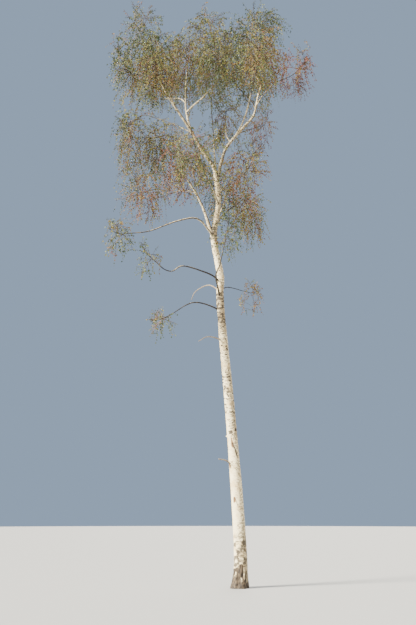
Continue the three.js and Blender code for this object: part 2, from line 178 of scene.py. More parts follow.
# Each mass of foliage: the region whose twigs and leaves it is joined with, the limb whose tip carries its
# stem, the middle and half sizes of the space it keeps to, how far its leaves have turned, from 0 for green
# to 1 for russet, and how full of whips it is.
Mass = namedtuple("Mass", "region on centre reach turned full")
MASSES = {
    "left_top": Mass("left", "left_leader", (-2.6, -0.75, 14.18), (0.76, 1.05, 1.23), 0.25, 0.38),
    "left_outer": Mass("left", "upper_left_bough", (-2.92, -1, 13.17), (0.61, 0.89, 1.18), 0.3, 0.5),
    "left_front": Mass("left", "left_front_bough", (-2.03, -1.5, 12.99), (0.78, 0.89, 1.06), 0.42, 0.95),
    "left_curtain": Mass("left", "left_curtain_bough", (-3.05, 0.7, 11.94), (0.74, 0.92, 1.18), 0.3, 0.6),
    "left_back": Mass("left", "back_left_bough", (-2.4, 1.4, 14.57), (0.94, 1, 1.18), 0.28, 0.8),
    "left_low_back": Mass("left", "left_back_bough", (-2.19, 1.35, 12.06), (0.92, 1, 1.14), 0.32, 0.5),
    "centre_left": Mass("centre", "centre_leader", (-1.45, 0.5, 14.27), (0.93, 1, 1.43), 0.3, 0.95),
    "centre_top": Mass("centre", "centre_top_bough", (-0.78, 0.2, 15.07), (0.84, 1, 1.07), 0.26, 0.66),
    "centre_front": Mass("centre", "crossing_bough", (-0.62, -1.15, 13.22), (0.8, 0.89, 1.12), 0.44, 0.75),
    "centre_back": Mass("centre", "centre_back_bough", (-0.59, 1.65, 14.66), (0.94, 0.89, 1.18), 0.4, 0.55),
    "right_top": Mass("right", "right_leader", (0.77, 0.15, 15.27), (0.95, 1.05, 1.1), 0.12, 0.48),
    "right_outer": Mass("right", "right_outer_bough", (1.82, 0, 13.78), (0.66, 0.84, 0.78), 0.54, 0.45),
    "right_inner": Mass("right", "right_inner_bough", (0.1, -0.5, 13.9), (0.75, 0.84, 1.25), 0.16, 0.5),
    "right_front": Mass("right", "right_front_bough", (0.62, -1.6, 12.95), (0.78, 0.89, 1.13), 0.28, 0.75),
    "right_back": Mass("right", "right_back_bough", (0.76, 1.65, 14.77), (0.91, 0.89, 1.26), 0.3, 0.75),
    "right_side": Mass("right", "right_side_bough", (0.76, 0.7, 12.3), (0.54, 0.74, 0.92), 0.4, 0.4),
    "right_inner_low": Mass("right", "right_inner_stem", (-0.18, 0.75, 12.56), (0.66, 0.74, 0.98), 0.5, 0.95),
    "fork_right": Mass("fork", "fork_right_bough", (0.2, -0.7, 10.14), (0.65, 0.77, 0.89), 0.48, 0.7),
    "fork_front": Mass("fork", "fork_front_bough", (-1, -1.5, 10.09), (0.76, 0.89, 1.06), 0.48, 0.7),
    "second_stem_top": Mass("fork", "second_stem", (-1.45, -0.45, 10.29), (0.72, 0.83, 0.94), 0.56, 0.7),
    "far_left_low": Mass("fork", "second_stem_side", (-2.56, 0.9, 10.4), (0.85, 0.89, 1.04), 0.52, 0.36),
    "long_bough_tip": Mass("low", "long_left_bough", (-2.9, -1.15, 8.08), (0.44, 0.64, 0.72), 0.38, 0.3),
    "right_low": Mass("fork", "right_low_bough", (0.38, 0.5, 9.4), (0.63, 0.79, 1.01), 0.54, 0.7),
    "back_low": Mass("fork", "back_bough", (-0.22, 1.5, 10.55), (0.88, 0.89, 1.19), 0.45, 0.65),
    "front_low": Mass("low", "front_bough", (-0.28, -0.85, 8.25), (0.46, 0.63, 0.7), 0.4, 0.45),
    "wavy_tip": Mass("low", "wavy_bough", (-2.19, -1.1, 7.55), (0.4, 0.55, 0.56), 0.5, 0.4),
    "right_mid": Mass("low", "right_mid_bough", (0.42, 0.8, 7.2), (0.39, 0.55, 0.6), 0.36, 0.4),
    "low_left_tip": Mass("low", "low_left_bough", (-1.88, -0.5, 6.1), (0.4, 0.5, 0.48), 0.5, 0.5),
}

# What the names of each region's pieces start with
REGIONS = {
    "left": "crown_left", "centre": "crown_centre", "right": "crown_right", "fork": "fork", "low": "low",
}

# Leaf tints in the order in which a leaf turns: name, record slot and colour
Tint = namedtuple("Tint", "name slot colour")
TINTS = (
    Tint("deep_green", "leaf_olive", (0.054, 0.072, 0.030)),
    Tint("olive", "leaf_olive", (0.082, 0.105, 0.036)),
    Tint("pale_olive", "leaf_olive", (0.160, 0.182, 0.072)),
    Tint("yellow_olive", "leaf_gold", (0.198, 0.182, 0.050)),
    Tint("gold", "leaf_gold", (0.190, 0.120, 0.038)),
    Tint("brown", "leaf_russet", (0.142, 0.077, 0.036)),
    Tint("russet", "leaf_russet", (0.160, 0.062, 0.034)),
    Tint("rose", "leaf_russet", (0.165, 0.076, 0.072)),
)


# Smooth values


def smooth(value, low, high):
    """0 below low and 1 above high, with a smooth rise between them."""
    part = np.clip((value - low) / (high - low), 0, 1)
    return part * part * (3 - 2 * part)


# Large odd numbers that scatter the corners of a grid
SCATTER = np.array([73856093, 19349663, 83492791])
SCATTER_NUMBER = 2654435761
SCATTER_AGAIN = 1274126177


def grain(points, number=0):
    """Smooth noise from -1 to 1 with features about a unit wide, the same each run."""
    cell = np.floor(points).astype(np.int64)
    part = points - cell
    part = part * part * (3 - 2 * part)
    total = np.zeros(points.shape[:-1])
    for corner in np.ndindex(2, 2, 2):
        mixed = (cell + corner) @ SCATTER + number * SCATTER_NUMBER
        mixed = (mixed ^ (mixed >> 13)) * SCATTER_AGAIN
        value = ((mixed ^ (mixed >> 16)) & 0xFFFF) / 0x7FFF - 1
        total += value * np.prod(np.where(corner, part, 1 - part), axis=-1)
    return total


def unit(vectors):
    return vectors / np.maximum(np.linalg.norm(vectors, axis=-1, keepdims=True), 1e-9)


# Lines that limbs, stems and twigs grow along

POINTS_PER_KNEE = 60
HEADING_STEP = 0.002


class Line:
    """A line kept as close-set points and measured along its length."""

    def __init__(self, points):
        self.points = np.asarray(points, float)
        steps = np.linalg.norm(np.diff(self.points, axis=0), axis=1)
        self.reached = np.concatenate([[0.0], np.cumsum(steps)])
        self.length = self.reached[-1]

    def at(self, share):
        place = np.asarray(share) * self.length
        return np.stack([np.interp(place, self.reached, self.points[:, axis]) for axis in range(3)], axis=-1)

    def heading(self, share):
        share = np.asarray(share, float)
        after, before = np.minimum(share + HEADING_STEP, 1), np.maximum(share - HEADING_STEP, 0)
        return unit(self.at(after) - self.at(before))


def through(knees):
    """The centripetal Catmull-Rom line through some knees."""
    knees = np.array(knees, float)
    padded = np.vstack([2 * knees[0] - knees[1], knees, 2 * knees[-1] - knees[-2]])
    share = np.linspace(0, 1, POINTS_PER_KNEE, endpoint=False)[:, None]
    pieces = []
    for before, start, end, after in zip(padded, padded[1:], padded[2:], padded[3:]):
        steps = (start - before, end - start, after - end)
        first, middle, last = (np.linalg.norm(step) ** 0.5 for step in steps)
        leave = (start - before) / first - (end - before) / (first + middle) + (end - start) / middle
        arrive = (end - start) / middle - (after - start) / (middle + last) + (after - end) / last
        leave = leave * middle
        arrive = arrive * middle
        pieces.append(
            start
            + leave * share
            + (3 * (end - start) - 2 * leave - arrive) * share**2
            + (2 * (start - end) + leave + arrive) * share**3
        )
    return Line(np.vstack([*pieces, knees[-1:]]))


def bezier(points, share):
    """The place at a share of the way along a Bézier curve."""
    points = [np.asarray(point, float) for point in points]
    share = np.asarray(share, float)[..., None]
    while len(points) > 1:
        points = [a + (b - a) * share for a, b in zip(points, points[1:])]
    return points[0]


LINES = {}
for name, limb in LIMBS.items():
    foot = [LINES[limb.on].at(limb.at)] if limb.on else []
    LINES[name] = through([*foot, *limb.knees])

# The radius of each limb

FLARE = 0.066
FLARE_HEIGHT = 0.26
ROOTS = 5
ROOT_RIDGE = 0.014
LEAN_SIDE_FLARE = 0.045
FORK_NARROWING = 0.3
FORK_START = 0.97
COLLAR = 0.3
COLLAR_LENGTH = 3


def trunk_radius(share, height, bearing):
    """The radius falls evenly, narrows at the fork, and swells near the ground into a flare with ridges."""
    foot, fork = LIMBS["trunk"].radius
    swell = np.exp(-height / FLARE_HEIGHT)
    ridges = ROOT_RIDGE * np.cos(ROOTS * bearing) - LEAN_SIDE_FLARE * np.cos(bearing)
    blunt = FORK_NARROWING * smooth(share, FORK_START, 1)
    return (foot + (fork - foot) * share) * (1 - blunt) + swell * (FLARE + ridges)


def bough_radius(name, share):
    foot, tip = LIMBS[name].radius
    collar = COLLAR * foot * np.exp(-share * LINES[name].length / (COLLAR_LENGTH * foot))
    return foot + (tip - foot) * share + collar


# Skins of bark

TRUNK_SIDES = 80
TRUNK_RINGS = 840
SIDE_WIDTH = 0.013
FEWEST_SIDES = 9
FEWEST_RINGS = 8
FRONT = -math.pi / 2
FIRST_ACROSS = (0.3, 1.0, 0.2)
TIP_BULGE = 0.3

# Each limb's noise and marks have its own number, and the stems' numbers begin after those of the boughs.
STEM_NUMBERS = 40

# Marks on the trunk, where the photo shows them: the height, the place across the trunk as it is seen from
# the front (-1 at the left edge, 1 at the right), the half width and half height, how far it stands proud,
# and how black and how brown it is.
Spot = namedtuple("Spot", "height side across along proud black brown", defaults=(0.0, 0.0, 0.0))
SPOTS = (
    Spot(3.48, -0.24, 0.052, 0.045, -0.012, black=1.0),
    Spot(3.39, -0.97, 0.024, 0.020, 0.034),
    Spot(3.20, -0.15, 0.034, 0.085, -0.004, brown=1.0),
    Spot(2.70, -0.85, 0.040, 0.075, 0.006, brown=0.8),
    Spot(2.60, 0.26, 0.018, 0.012, 0.003, black=0.7),
    Spot(1.92, -0.50, 0.040, 0.075, -0.003, brown=0.8),
    Spot(1.45, 0.73, 0.018, 0.014, 0.002, black=0.8),
    Spot(2.28, -0.30, 0.034, 0.005, 0.002, black=0.5),
    Spot(2.12, -0.35, 0.040, 0.004, 0.002, black=0.45),
    Spot(2.02, -0.28, 0.030, 0.004, 0.002, black=0.45),
    Spot(0.97, 0.52, 0.050, 0.075, 0.003, black=0.75),
    Spot(0.90, 0.20, 0.040, 0.040, 0.003, black=0.65),
    Spot(0.77, -0.41, 0.055, 0.050, 0.003, black=0.75),
    Spot(0.70, 0.05, 0.035, 0.030, 0.003, black=0.60),
    Spot(7.36, -0.75, 0.020, 0.060, -0.004, black=1.0),
    # Knots
    *(Spot(*measures, proud=0.003, black=0.9) for measures in (
        (6.87, 0.00, 0.028, 0.018), (6.39, -0.30, 0.030, 0.020), (6.26, -0.30, 0.026, 0.012),
        (6.15, -0.50, 0.022, 0.014), (5.51, -0.78, 0.020, 0.014), (4.95, -0.24, 0.024, 0.016),
        (4.57, -0.53, 0.022, 0.018), (4.30, -0.52, 0.026, 0.016), (4.10, -0.77, 0.020, 0.014),
        (3.70, 0.19, 0.018, 0.012),
    )),
)

# Seams on the trunk: their places as height and side, and the same measures as for a spot
Seam = namedtuple("Seam", "places half proud black brown")
SEAMS = (
    Seam([(3.34, -0.25), (3.26, -0.22), (3.16, -0.10)], 0.016, -0.003, 0.0, 0.9),
    Seam([(3.22, -0.08), (3.12, 0.14), (3.04, 0.42), (2.94, 0.52)], 0.018, -0.005, 1.0, 0.0),
    Seam([(2.76, -0.92), (2.72, -0.45), (2.61, 0.24)], 0.009, 0.009, 0.0, 0.3),
    Seam([(2.73, -0.50), (2.59, 0.24)], 0.006, -0.002, 0.8, 0.0),
    Seam([(1.86, -0.66), (1.98, -0.42), (1.90, -0.24), (1.80, -0.10)], 0.012, 0.004, 0.55, 0.3),
    Seam([(0.50, -0.95), (0.47, -0.4), (0.52, 0.0), (0.46, 0.35), (0.50, 0.9)], 0.008, -0.004, 0.8, 0.0),
)

# Marks strewn all round the trunk: the height they start at, how many there are in a metre, and the largest
# half width and half height
STREWN = (
    (0.5, 44, 0.030, 0.020), (0.9, 30, 0.024, 0.014), (1.4, 12, 0.030, 0.008), (2.4, 18, 0.036, 0.010),
    (3.4, 90, 0.056, 0.032), (5.0, 60, 0.045, 0.026), (6.2, 170, 0.060, 0.040), (7.1, 70, 0.045, 0.026),
    (8.4, 150, 0.055, 0.036), (9.0, 55, 0.040, 0.020),
)
STREWN_LEAST = 0.3
STREWN_PROUD = 0.002
STREWN_BLACK = (0.4, 1)
SPOT_EDGE = (-1.35, -0.55)
SEAM_EDGE = (-1.7, -0.4)

# How worn the bark is, as patches of ochre grey, at some heights up the trunk
WORN = (
    (0.4, 0.55), (0.9, 0.42), (1.5, 0.20), (3.0, 0.16), (3.5, 0.42), (4.9, 0.42), (5.3, 0.26), (5.9, 0.26),
    (6.25, 0.80), (6.9, 0.92), (7.15, 0.55), (7.5, 0.26), (8.2, 0.25), (8.7, 0.85), (9.1, 0.50), (10.4, 0.45),
)

# Painted shade on the side away from the light, to the right, the front and below: how much of the wear
# colour is painted there on the trunk and on boughs, how worn boughs are all round, and how black the painted
# shade on boughs is there, in a broken streak pattern
SHADED_SIDE = np.array([0.88, -0.32, -0.35])
TRUNK_PAINTED_SHADE = 0.5
BOUGH_PAINTED_SHADE = 0.5
BOUGH_WORN = 0.64
SHADE_STREAK = 0.9
SHADE_STREAK_SIDE = (0.3, 0.8)
SHADE_STREAK_BREAKS = 0.8

# Marks on boughs: their half width in multiples of the radius, their half height in metres, and their looks
MARK_WIDE = (0.3, 1.4)
MARK_TALL = (0.006, 0.032)
MARK_PROUD = 0.001
MARK_BLACK = (0.5, 1)

# Noise on the trunk and on other limbs: how fine it is around and along, and its number
TRUNK_GRAINS = {
    "swell": (5, 2.2, 0), "wrinkles": (14, 60, 1), "old_edge": (9, 0.2, 2), "ribs": (30, 2.5, 3),
    "plates": (14, 9, 4), "furrows": (24, 4, 5), "crumbs": (22, 18, 6), "patches": (15, 21, 7),
}
LIMB_GRAINS = {"lumps": (16, 9, 0), "bumps": (50, 40, 1), "young": (30, 12, 2), "shade_streaks": (22, 5, 3)}
LIMB_SHIFT = 3.7
SWELL = 0.005
WRINKLE = 0.0012
LUMP = 0.07
BUMP = 0.05
YOUNG_STRAY = 0.35

# Old bark at the foot, with white ribs and plates in it, and grey patches above it
OLD_TOP = 0.48
OLD_STRAY = 0.09
FURROW = 0.016
CRUMB = 0.006
RIB_TURN = 0.6
RIB_WHITE = 0.95
PLATE_WHITE = 0.8
PATCH_TOP = 1.5
PATCH_PROUD = 0.002
PATCH_BLACK = 0.6

# Each bough's collar and black chevron on the trunk, in multiples of the bough's radius. A collar is as wide,
# tall and proud as this, and a dark spot as wide and tall.
COLLAR_SPOT = (2.6, 2.8, 0.35)
DARK_SPOT = (1.5, 1.3)
DARK_SPOT_BLACK = 0.8
CHEVRON = SimpleNamespace(peak=3.2, foot=0.5, spread=3.4)

# The chevron's half width and height in metres, and the trunk's radius, for its spread as an angle
CHEVRON_HALF = 0.006
CHEVRON_PROUD = 0.002
CHEVRON_RADIUS = 0.1

# Points along the first half of a bough, among which it leaves the trunk's surface
FIRST_HALF = np.linspace(0, 0.5, 200)


def wrapped(angle):
    return (angle + math.pi) % (2 * math.pi) - math.pi


# The bark's masks. The one for wear also carries painted shade, and the black one also carries streaks of
# painted shade on boughs.
MASKS = ("black", "brown", "worn", "old", "young")


class Skin:
    """A limb's surface as rings of points, with a place for the bark's pattern and masks that colour it."""

    def __init__(self, middle, across, over, along, radius, bearing):
        self.middle, self.across, self.over = middle, across, over
        self.along = np.broadcast_to(along, radius.shape)
        self.radius = radius
        self.bearing = np.broadcast_to(bearing, radius.shape)
        self.rise = np.zeros(radius.shape)
        self.masks = {key: np.zeros(radius.shape) for key in MASKS}

    def place(self):
        """The unbent surface, so that a pattern on it follows the limb."""
        around = self.radius * np.cos(self.bearing), self.radius * np.sin(self.bearing)
        return np.stack([*around, self.along], axis=-1)

    def grains(self, table, shift=0.0):
        """Noise on the surface for each row of a table."""
        place = self.place() + shift
        return {
            key: grain(place * (around, around, along), number)
            for key, (around, along, number) in table.items()
        }

    def outward(self):
        """The way out of the limb at each point, in space."""
        across = self.across[:, None] * np.cos(self.bearing)[..., None]
        return across + self.over[:, None] * np.sin(self.bearing)[..., None]

    def points(self):
        return self.middle[:, None] + self.outward() * (self.radius + self.rise)[..., None]

    def mark(self, strength, rows, proud=0.0, black=0.0, brown=0.0):
        self.rise[rows] += proud * strength
        for key, value in (("black", black), ("brown", brown)):
            self.masks[key][rows] = np.maximum(self.masks[key][rows], value * strength)

    def rows_near(self, along, room):
        return slice(*np.searchsorted(self.along[:, 0], (along - room, along + room)))

    def spot(self, along, bearing, across, tall, *looks):
        rows = self.rows_near(along, 2 * tall)
        sideways = self.radius[rows] * wrapped(self.bearing[rows] - bearing) / across
        out = np.hypot(sideways, (self.along[rows] - along) / tall)
        self.mark(smooth(-out, *SPOT_EDGE), rows, *looks)

    def seam(self, places, half, *looks):
        """A thin mark along a line of places, each an along and a bearing."""
        for (along, bearing), (next_along, next_bearing) in zip(places, places[1:]):
            rows = self.rows_near((along + next_along) / 2, abs(next_along - along) / 2 + 3 * half)
            width = self.radius[rows]
            turn = wrapped(self.bearing[rows] - bearing)
            here = np.stack([width * turn, self.along[rows] - along], axis=-1)
            rise = np.full(width.shape, next_along - along)
            span = np.stack([width * wrapped(next_bearing - bearing), rise], axis=-1)
            part = np.clip((here * span).sum(-1) / (span * span).sum(-1), 0, 1)
            away = np.linalg.norm(here - span * part[..., None], axis=-1)
            self.mark(smooth(-away, *(edge * half for edge in SEAM_EDGE)), rows, *looks)


def front_bearing(side):
    return FRONT + math.asin(side)


def junctions():
    """Where each bough leaves the trunk's surface: its name, height and bearing."""
    trunk = LINES["trunk"]
    rises = trunk.points[:, 2]
    for name, limb in LIMBS.items():
        if limb.on != "trunk":
            continue
        path = LINES[name].at(FIRST_HALF)
        middle = np.stack([np.interp(path[:, 2], rises, trunk.points[:, axis]) for axis in range(2)], -1)
        out = path[:, :2] - middle
        share = np.interp(path[:, 2], rises, trunk.reached) / trunk.length
        bearing = np.arctan2(out[:, 1], out[:, 0])
        beyond = np.linalg.norm(out, axis=1) > trunk_radius(share, path[:, 2], bearing)
        if beyond.any():
            first = np.argmax(beyond)
            yield name, path[first, 2], bearing[first]


def trunk_skin():
    line = LINES["trunk"]
    share = np.linspace(0, 1, TRUNK_RINGS + 1)
    middle = line.at(share)
    bearing = np.linspace(0, 2 * math.pi, TRUNK_SIDES, endpoint=False)
    height = middle[:, 2:]
    radius = trunk_radius(share[:, None], height, bearing)
    across, over = (np.tile(way, (len(share), 1)) for way in ((1.0, 0, 0), (0, 1.0, 0)))
    skin = Skin(middle, across, over, height, radius, bearing)
    grains = skin.grains(TRUNK_GRAINS)

    # The surface swells and wrinkles a little all over.
    above_cut = smooth(height, 0, 0.03)
    skin.rise += SWELL * grains["swell"] * smooth(height, 0, 0.3)
    skin.rise += WRINKLE * grains["wrinkles"] * above_cut

    # Old bark at the foot is dark and furrowed, and broken by white ribs on the right.
    old = smooth(OLD_TOP + OLD_STRAY * grains["old_edge"] - height, 0, 0.06)
    ribs = smooth(grains["ribs"], -0.05, 0.25)
    right = smooth(np.cos(bearing + RIB_TURN), 0.25, 0.75) * smooth(height, 0.05, 0.2)
    plates = smooth(grains["plates"], 0.35, 0.6) * smooth(height, 0.1, 0.4)
    skin.masks["old"] = old * (1 - RIB_WHITE * ribs * right) * (1 - PLATE_WHITE * plates)
    skin.rise -= FURROW * (1 - smooth(np.abs(grains["furrows"]), 0, 0.35)) * old * above_cut
    skin.rise += CRUMB * grains["crumbs"] * old * above_cut

    # Above it grey patches thin out upwards.
    patches = smooth(grains["patches"], -0.05, 0.35) * smooth(PATCH_TOP - height, 0, 0.6)
    skin.mark(patches * (1 - old), slice(None), PATCH_PROUD, PATCH_BLACK)

    for height_up, side, *measures in SPOTS:
        skin.spot(height_up, front_bearing(side), *measures)
    for places, *measures in SEAMS:
        skin.seam([(height_up, front_bearing(side)) for height_up, side in places], *measures)

    roll = np.random.default_rng([SEED, 1])
    tops = [band[0] for band in STREWN[1:]] + [line.points[-1, 2]]
    for (low, many, wide, tall), high in zip(STREWN, tops):
        for _ in range(round(many * (high - low))):
            skin.spot(
                roll.uniform(low, high), roll.uniform(-math.pi, math.pi),
                wide * roll.uniform(STREWN_LEAST, 1), tall * roll.uniform(STREWN_LEAST, 1), STREWN_PROUD,
                roll.uniform(*STREWN_BLACK),
            )
    # Ochre wear at some heights, plus painted shade: more of the wear colour on the side away from the light.
    skin.masks["worn"] = np.interp(height, *zip(*WORN)) + TRUNK_PAINTED_SHADE * (skin.outward() @ SHADED_SIDE)

    # Each bough stands on a swollen collar, under a black chevron.
    for name, height_up, turn in junctions():
        foot = LIMBS[name].radius[0]
        skin.spot(height_up, turn, *(measure * foot for measure in COLLAR_SPOT))
        skin.spot(height_up, turn, *(measure * foot for measure in DARK_SPOT), 0.0, DARK_SPOT_BLACK)
        peak = height_up + CHEVRON.peak * foot
        low = height_up - CHEVRON.foot * foot
        spread = CHEVRON.spread * foot / CHEVRON_RADIUS
        chevron = [(low, turn - spread), (peak, turn), (low, turn + spread)]
        skin.seam(chevron, CHEVRON_HALF, CHEVRON_PROUD, 1.0)
    return skin


def carried_frames(heading):
    """Two cross directions for each ring, which turn as little as they can along a limb."""
    across = unit(np.cross(heading[0], FIRST_ACROSS))
    found = []
    for way in heading:
        across = unit(across - way * (across @ way))
        found.append(across)
    across = np.array(found)
    return across, np.cross(heading, across)


# Bark on a limb this thin is brown, and on one this thick it is white.
BROWN_RADIUS = 0.009
WHITE_RADIUS = 0.019


def limb_skin(line, radius_at, number, spacing, marks_per_metre, sides, least_brown):
    rings = max(FEWEST_RINGS, round(line.length / spacing))
    share = np.linspace(0, 1, rings + 1)
    across, over = carried_frames(line.heading(share))
    bearing = np.linspace(0, 2 * math.pi, sides, endpoint=False)
    radius = np.broadcast_to(radius_at(share)[:, None], (rings + 1, sides)).copy()
    skin = Skin(line.at(share), across, over, (share * line.length)[:, None], radius, bearing)
    grains = skin.grains(LIMB_GRAINS, number * LIMB_SHIFT)
    skin.rise += LUMP * radius * grains["lumps"]
    skin.rise += BUMP * radius * grains["bumps"]
    young = smooth(-radius, -WHITE_RADIUS, -BROWN_RADIUS)
    young = np.maximum(young, np.interp(share, (0, 1), least_brown)[:, None])
    skin.masks["young"] = np.clip(young + YOUNG_STRAY * grains["young"] * (young > 0), 0, 1)
    # Painted shade: the side away from the light gets more of the wear colour and broken black streaks.
    toward_shade = skin.outward() @ SHADED_SIDE
    skin.masks["worn"] = BOUGH_WORN + BOUGH_PAINTED_SHADE * toward_shade
    shade_streaks = np.clip(SHADE_STREAK_BREAKS + SHADE_STREAK_BREAKS * grains["shade_streaks"], 0, 1)
    skin.masks["black"] = SHADE_STREAK * smooth(toward_shade, *SHADE_STREAK_SIDE) * shade_streaks
    roll = np.random.default_rng([SEED, 2, number])
    for _ in range(round(marks_per_metre * line.length)):
        width = roll.uniform(*MARK_WIDE) * radius_at(np.array([0.5]))[0]
        skin.spot(
            roll.uniform(0, line.length), roll.uniform(-math.pi, math.pi), width, roll.uniform(*MARK_TALL),
            MARK_PROUD, roll.uniform(*MARK_BLACK),
        )
    return skin


def new_mesh(name, points, edges=(), faces=(), **values):
    """A mesh with named values on its points, each of one number or of three."""
    mesh = bpy.data.meshes.new(name)
    mesh.from_pydata(points, edges, faces)
    for key, value in values.items():
        kind, field = ("FLOAT", "value") if value.ndim == 1 else ("FLOAT_VECTOR", "vector")
        mesh.attributes.new(key, kind, "POINT").data.foreach_set(field, value.ravel())
    return mesh


def linked(name, data):
    made = bpy.data.objects.new(name, data)
    bpy.context.scene.collection.objects.link(made)
    return made


def joined_skins(name, skins, material):
    """One mesh of several skins, each closed at both ends, with its masks and places as attributes."""
    points, places, faces = [], [], []
    masks = {key: [] for key in MASKS}
    first = 0
    for skin in skins:
        rings, sides = skin.radius.shape
        tip = skin.middle[-1] + (skin.middle[-1] - skin.middle[-2]) * TIP_BULGE
        points += [skin.points().reshape(-1, 3), [skin.middle[0], tip]]
        places += [skin.place().reshape(-1, 3), [(0, 0, skin.along[0, 0]), (0, 0, skin.along[-1, 0])]]
        for key, values in masks.items():
            values += [skin.masks[key].ravel(), skin.masks[key][[0, -1], 0]]
        side = np.arange(sides)
        beside = (side + 1) % sides
        ring = np.arange(rings - 1)[:, None] * sides
        above = ring + sides
        last = (rings - 1) * sides
        middle = np.full(sides, rings * sides)
        quads = np.stack([ring + side, ring + beside, above + beside, above + side], axis=-1).reshape(-1, 4)
        foot_fan = np.stack([middle, beside, side], axis=-1)
        tip_fan = np.stack([middle + 1, last + side, last + beside], axis=-1)
        for group in (quads, foot_fan, tip_fan):
            faces += (group + first).tolist()
        first += rings * sides + 2
    masks = {key: np.concatenate(values) for key, values in masks.items()}
    mesh = new_mesh(name, np.vstack(points), faces=faces, bark_place=np.vstack(places), **masks)
    mesh.polygons.foreach_set("use_smooth", [True] * len(mesh.polygons))
    mesh.materials.append(material)
    return linked(name, mesh)


# Materials


def add_node(tree, kind, inputs=None, **settings):
    made = tree.nodes.new(kind)
    for key, value in settings.items():
        setattr(made, key, value)
    sockets = {socket.identifier: socket for socket in made.inputs}
    for key, value in (inputs or {}).items():
        socket = sockets.get(key) or made.inputs[key]
        if isinstance(value, bpy.types.NodeSocket):
            tree.links.new(value, socket)
        else:
            socket.default_value = value
    return made


# Blender's own value for how shiny a plain surface is
PLAIN_SHINE = 0.5


def new_material(name, roughness, specular=PLAIN_SHINE):
    made = bpy.data.materials.new(name)
    made.use_nodes = True
    shader = made.node_tree.nodes["Principled BSDF"].inputs
    shader["Roughness"].default_value = roughness
    shader["Specular IOR Level"].default_value = specular
    return made, made.node_tree, shader


def plain_material(name, colour, roughness, specular=PLAIN_SHINE):
    made, _, shader = new_material(name, roughness, specular)
    shader["Base Color"].default_value = (*colour, 1)
    return made


def colour_mix(tree, factor, *colours):
    """The first colour where the factor is 0, and the second where it is 1."""
    first, second = (
        colour if isinstance(colour, bpy.types.NodeSocket) else (*colour, 1) for colour in colours
    )
    ends = {"Factor_Float": factor, "A_Color": first, "B_Color": second}
    made = add_node(tree, "ShaderNodeMix", ends, data_type="RGBA")
    return next(socket for socket in made.outputs if socket.identifier == "Result_Color")


def layered(tree, colour, *layers):
    """A colour with others over it, each a factor and a colour."""
    for factor, over in layers:
        colour = colour_mix(tree, factor, colour, over)
    return colour


def stepped(tree, value, low, high, top=1.0):
    made = add_node(
        tree, "ShaderNodeMapRange", {"Value": value, "From Min": low, "From Max": high, "To Max": top},
        interpolation_type="SMOOTHSTEP",
    )
    return made.outputs["Result"]


def summed(tree, first, second, kind="ADD"):
    made = add_node(tree, "ShaderNodeMath", {0: first, 1: second}, operation=kind)
    return made.outputs[0]


def pattern(tree, place, stretch, detail=3.0, roughness=0.55):
    """Noise whose features are 1 / stretch long on each axis."""
    spread = add_node(tree, "ShaderNodeMapping", {"Vector": place, "Scale": stretch})
    noise = add_node(
        tree, "ShaderNodeTexNoise",
        {"Vector": spread.outputs["Vector"], "Scale": 1.0, "Detail": detail, "Roughness": roughness},
    )
    return noise.outputs["Fac"]


def attribute(tree, name, output="Fac"):
    return add_node(tree, "ShaderNodeAttribute", attribute_name=name).outputs[output]


def bumped(tree, height, strength, distance):
    made = add_node(tree, "ShaderNodeBump", {"Height": height, "Strength": strength, "Distance": distance})
    return made.outputs["Normal"]


WHITE_BARK = (0.97, 0.85, 0.53)
PINK_BARK = (0.78, 0.61, 0.33)
GREY_BARK = (0.44, 0.375, 0.27)
BLACK_BARK = (0.050, 0.036, 0.024)
SCAR_BROWN = (0.27, 0.15, 0.065)
# Ochre wear, also used as painted shade on the side away from the light
WEAR_AND_SHADE_BARK = (0.20, 0.137, 0.068)
OLD_BARK = (0.120, 0.084, 0.048)
OLD_BARK_DARK = (0.022, 0.016, 0.012)
YOUNG_BARK = (0.018, 0.012, 0.008)
TAN_WOOD = (0.30, 0.235, 0.15)
DARK_TAN_WOOD = (0.20, 0.155, 0.10)
CRACK = (0.10, 0.07, 0.055)
TWIG_BROWN = (0.066, 0.046, 0.031)
TWIG_RED = (0.210, 0.090, 0.066)
WART = (0.34, 0.28, 0.21)


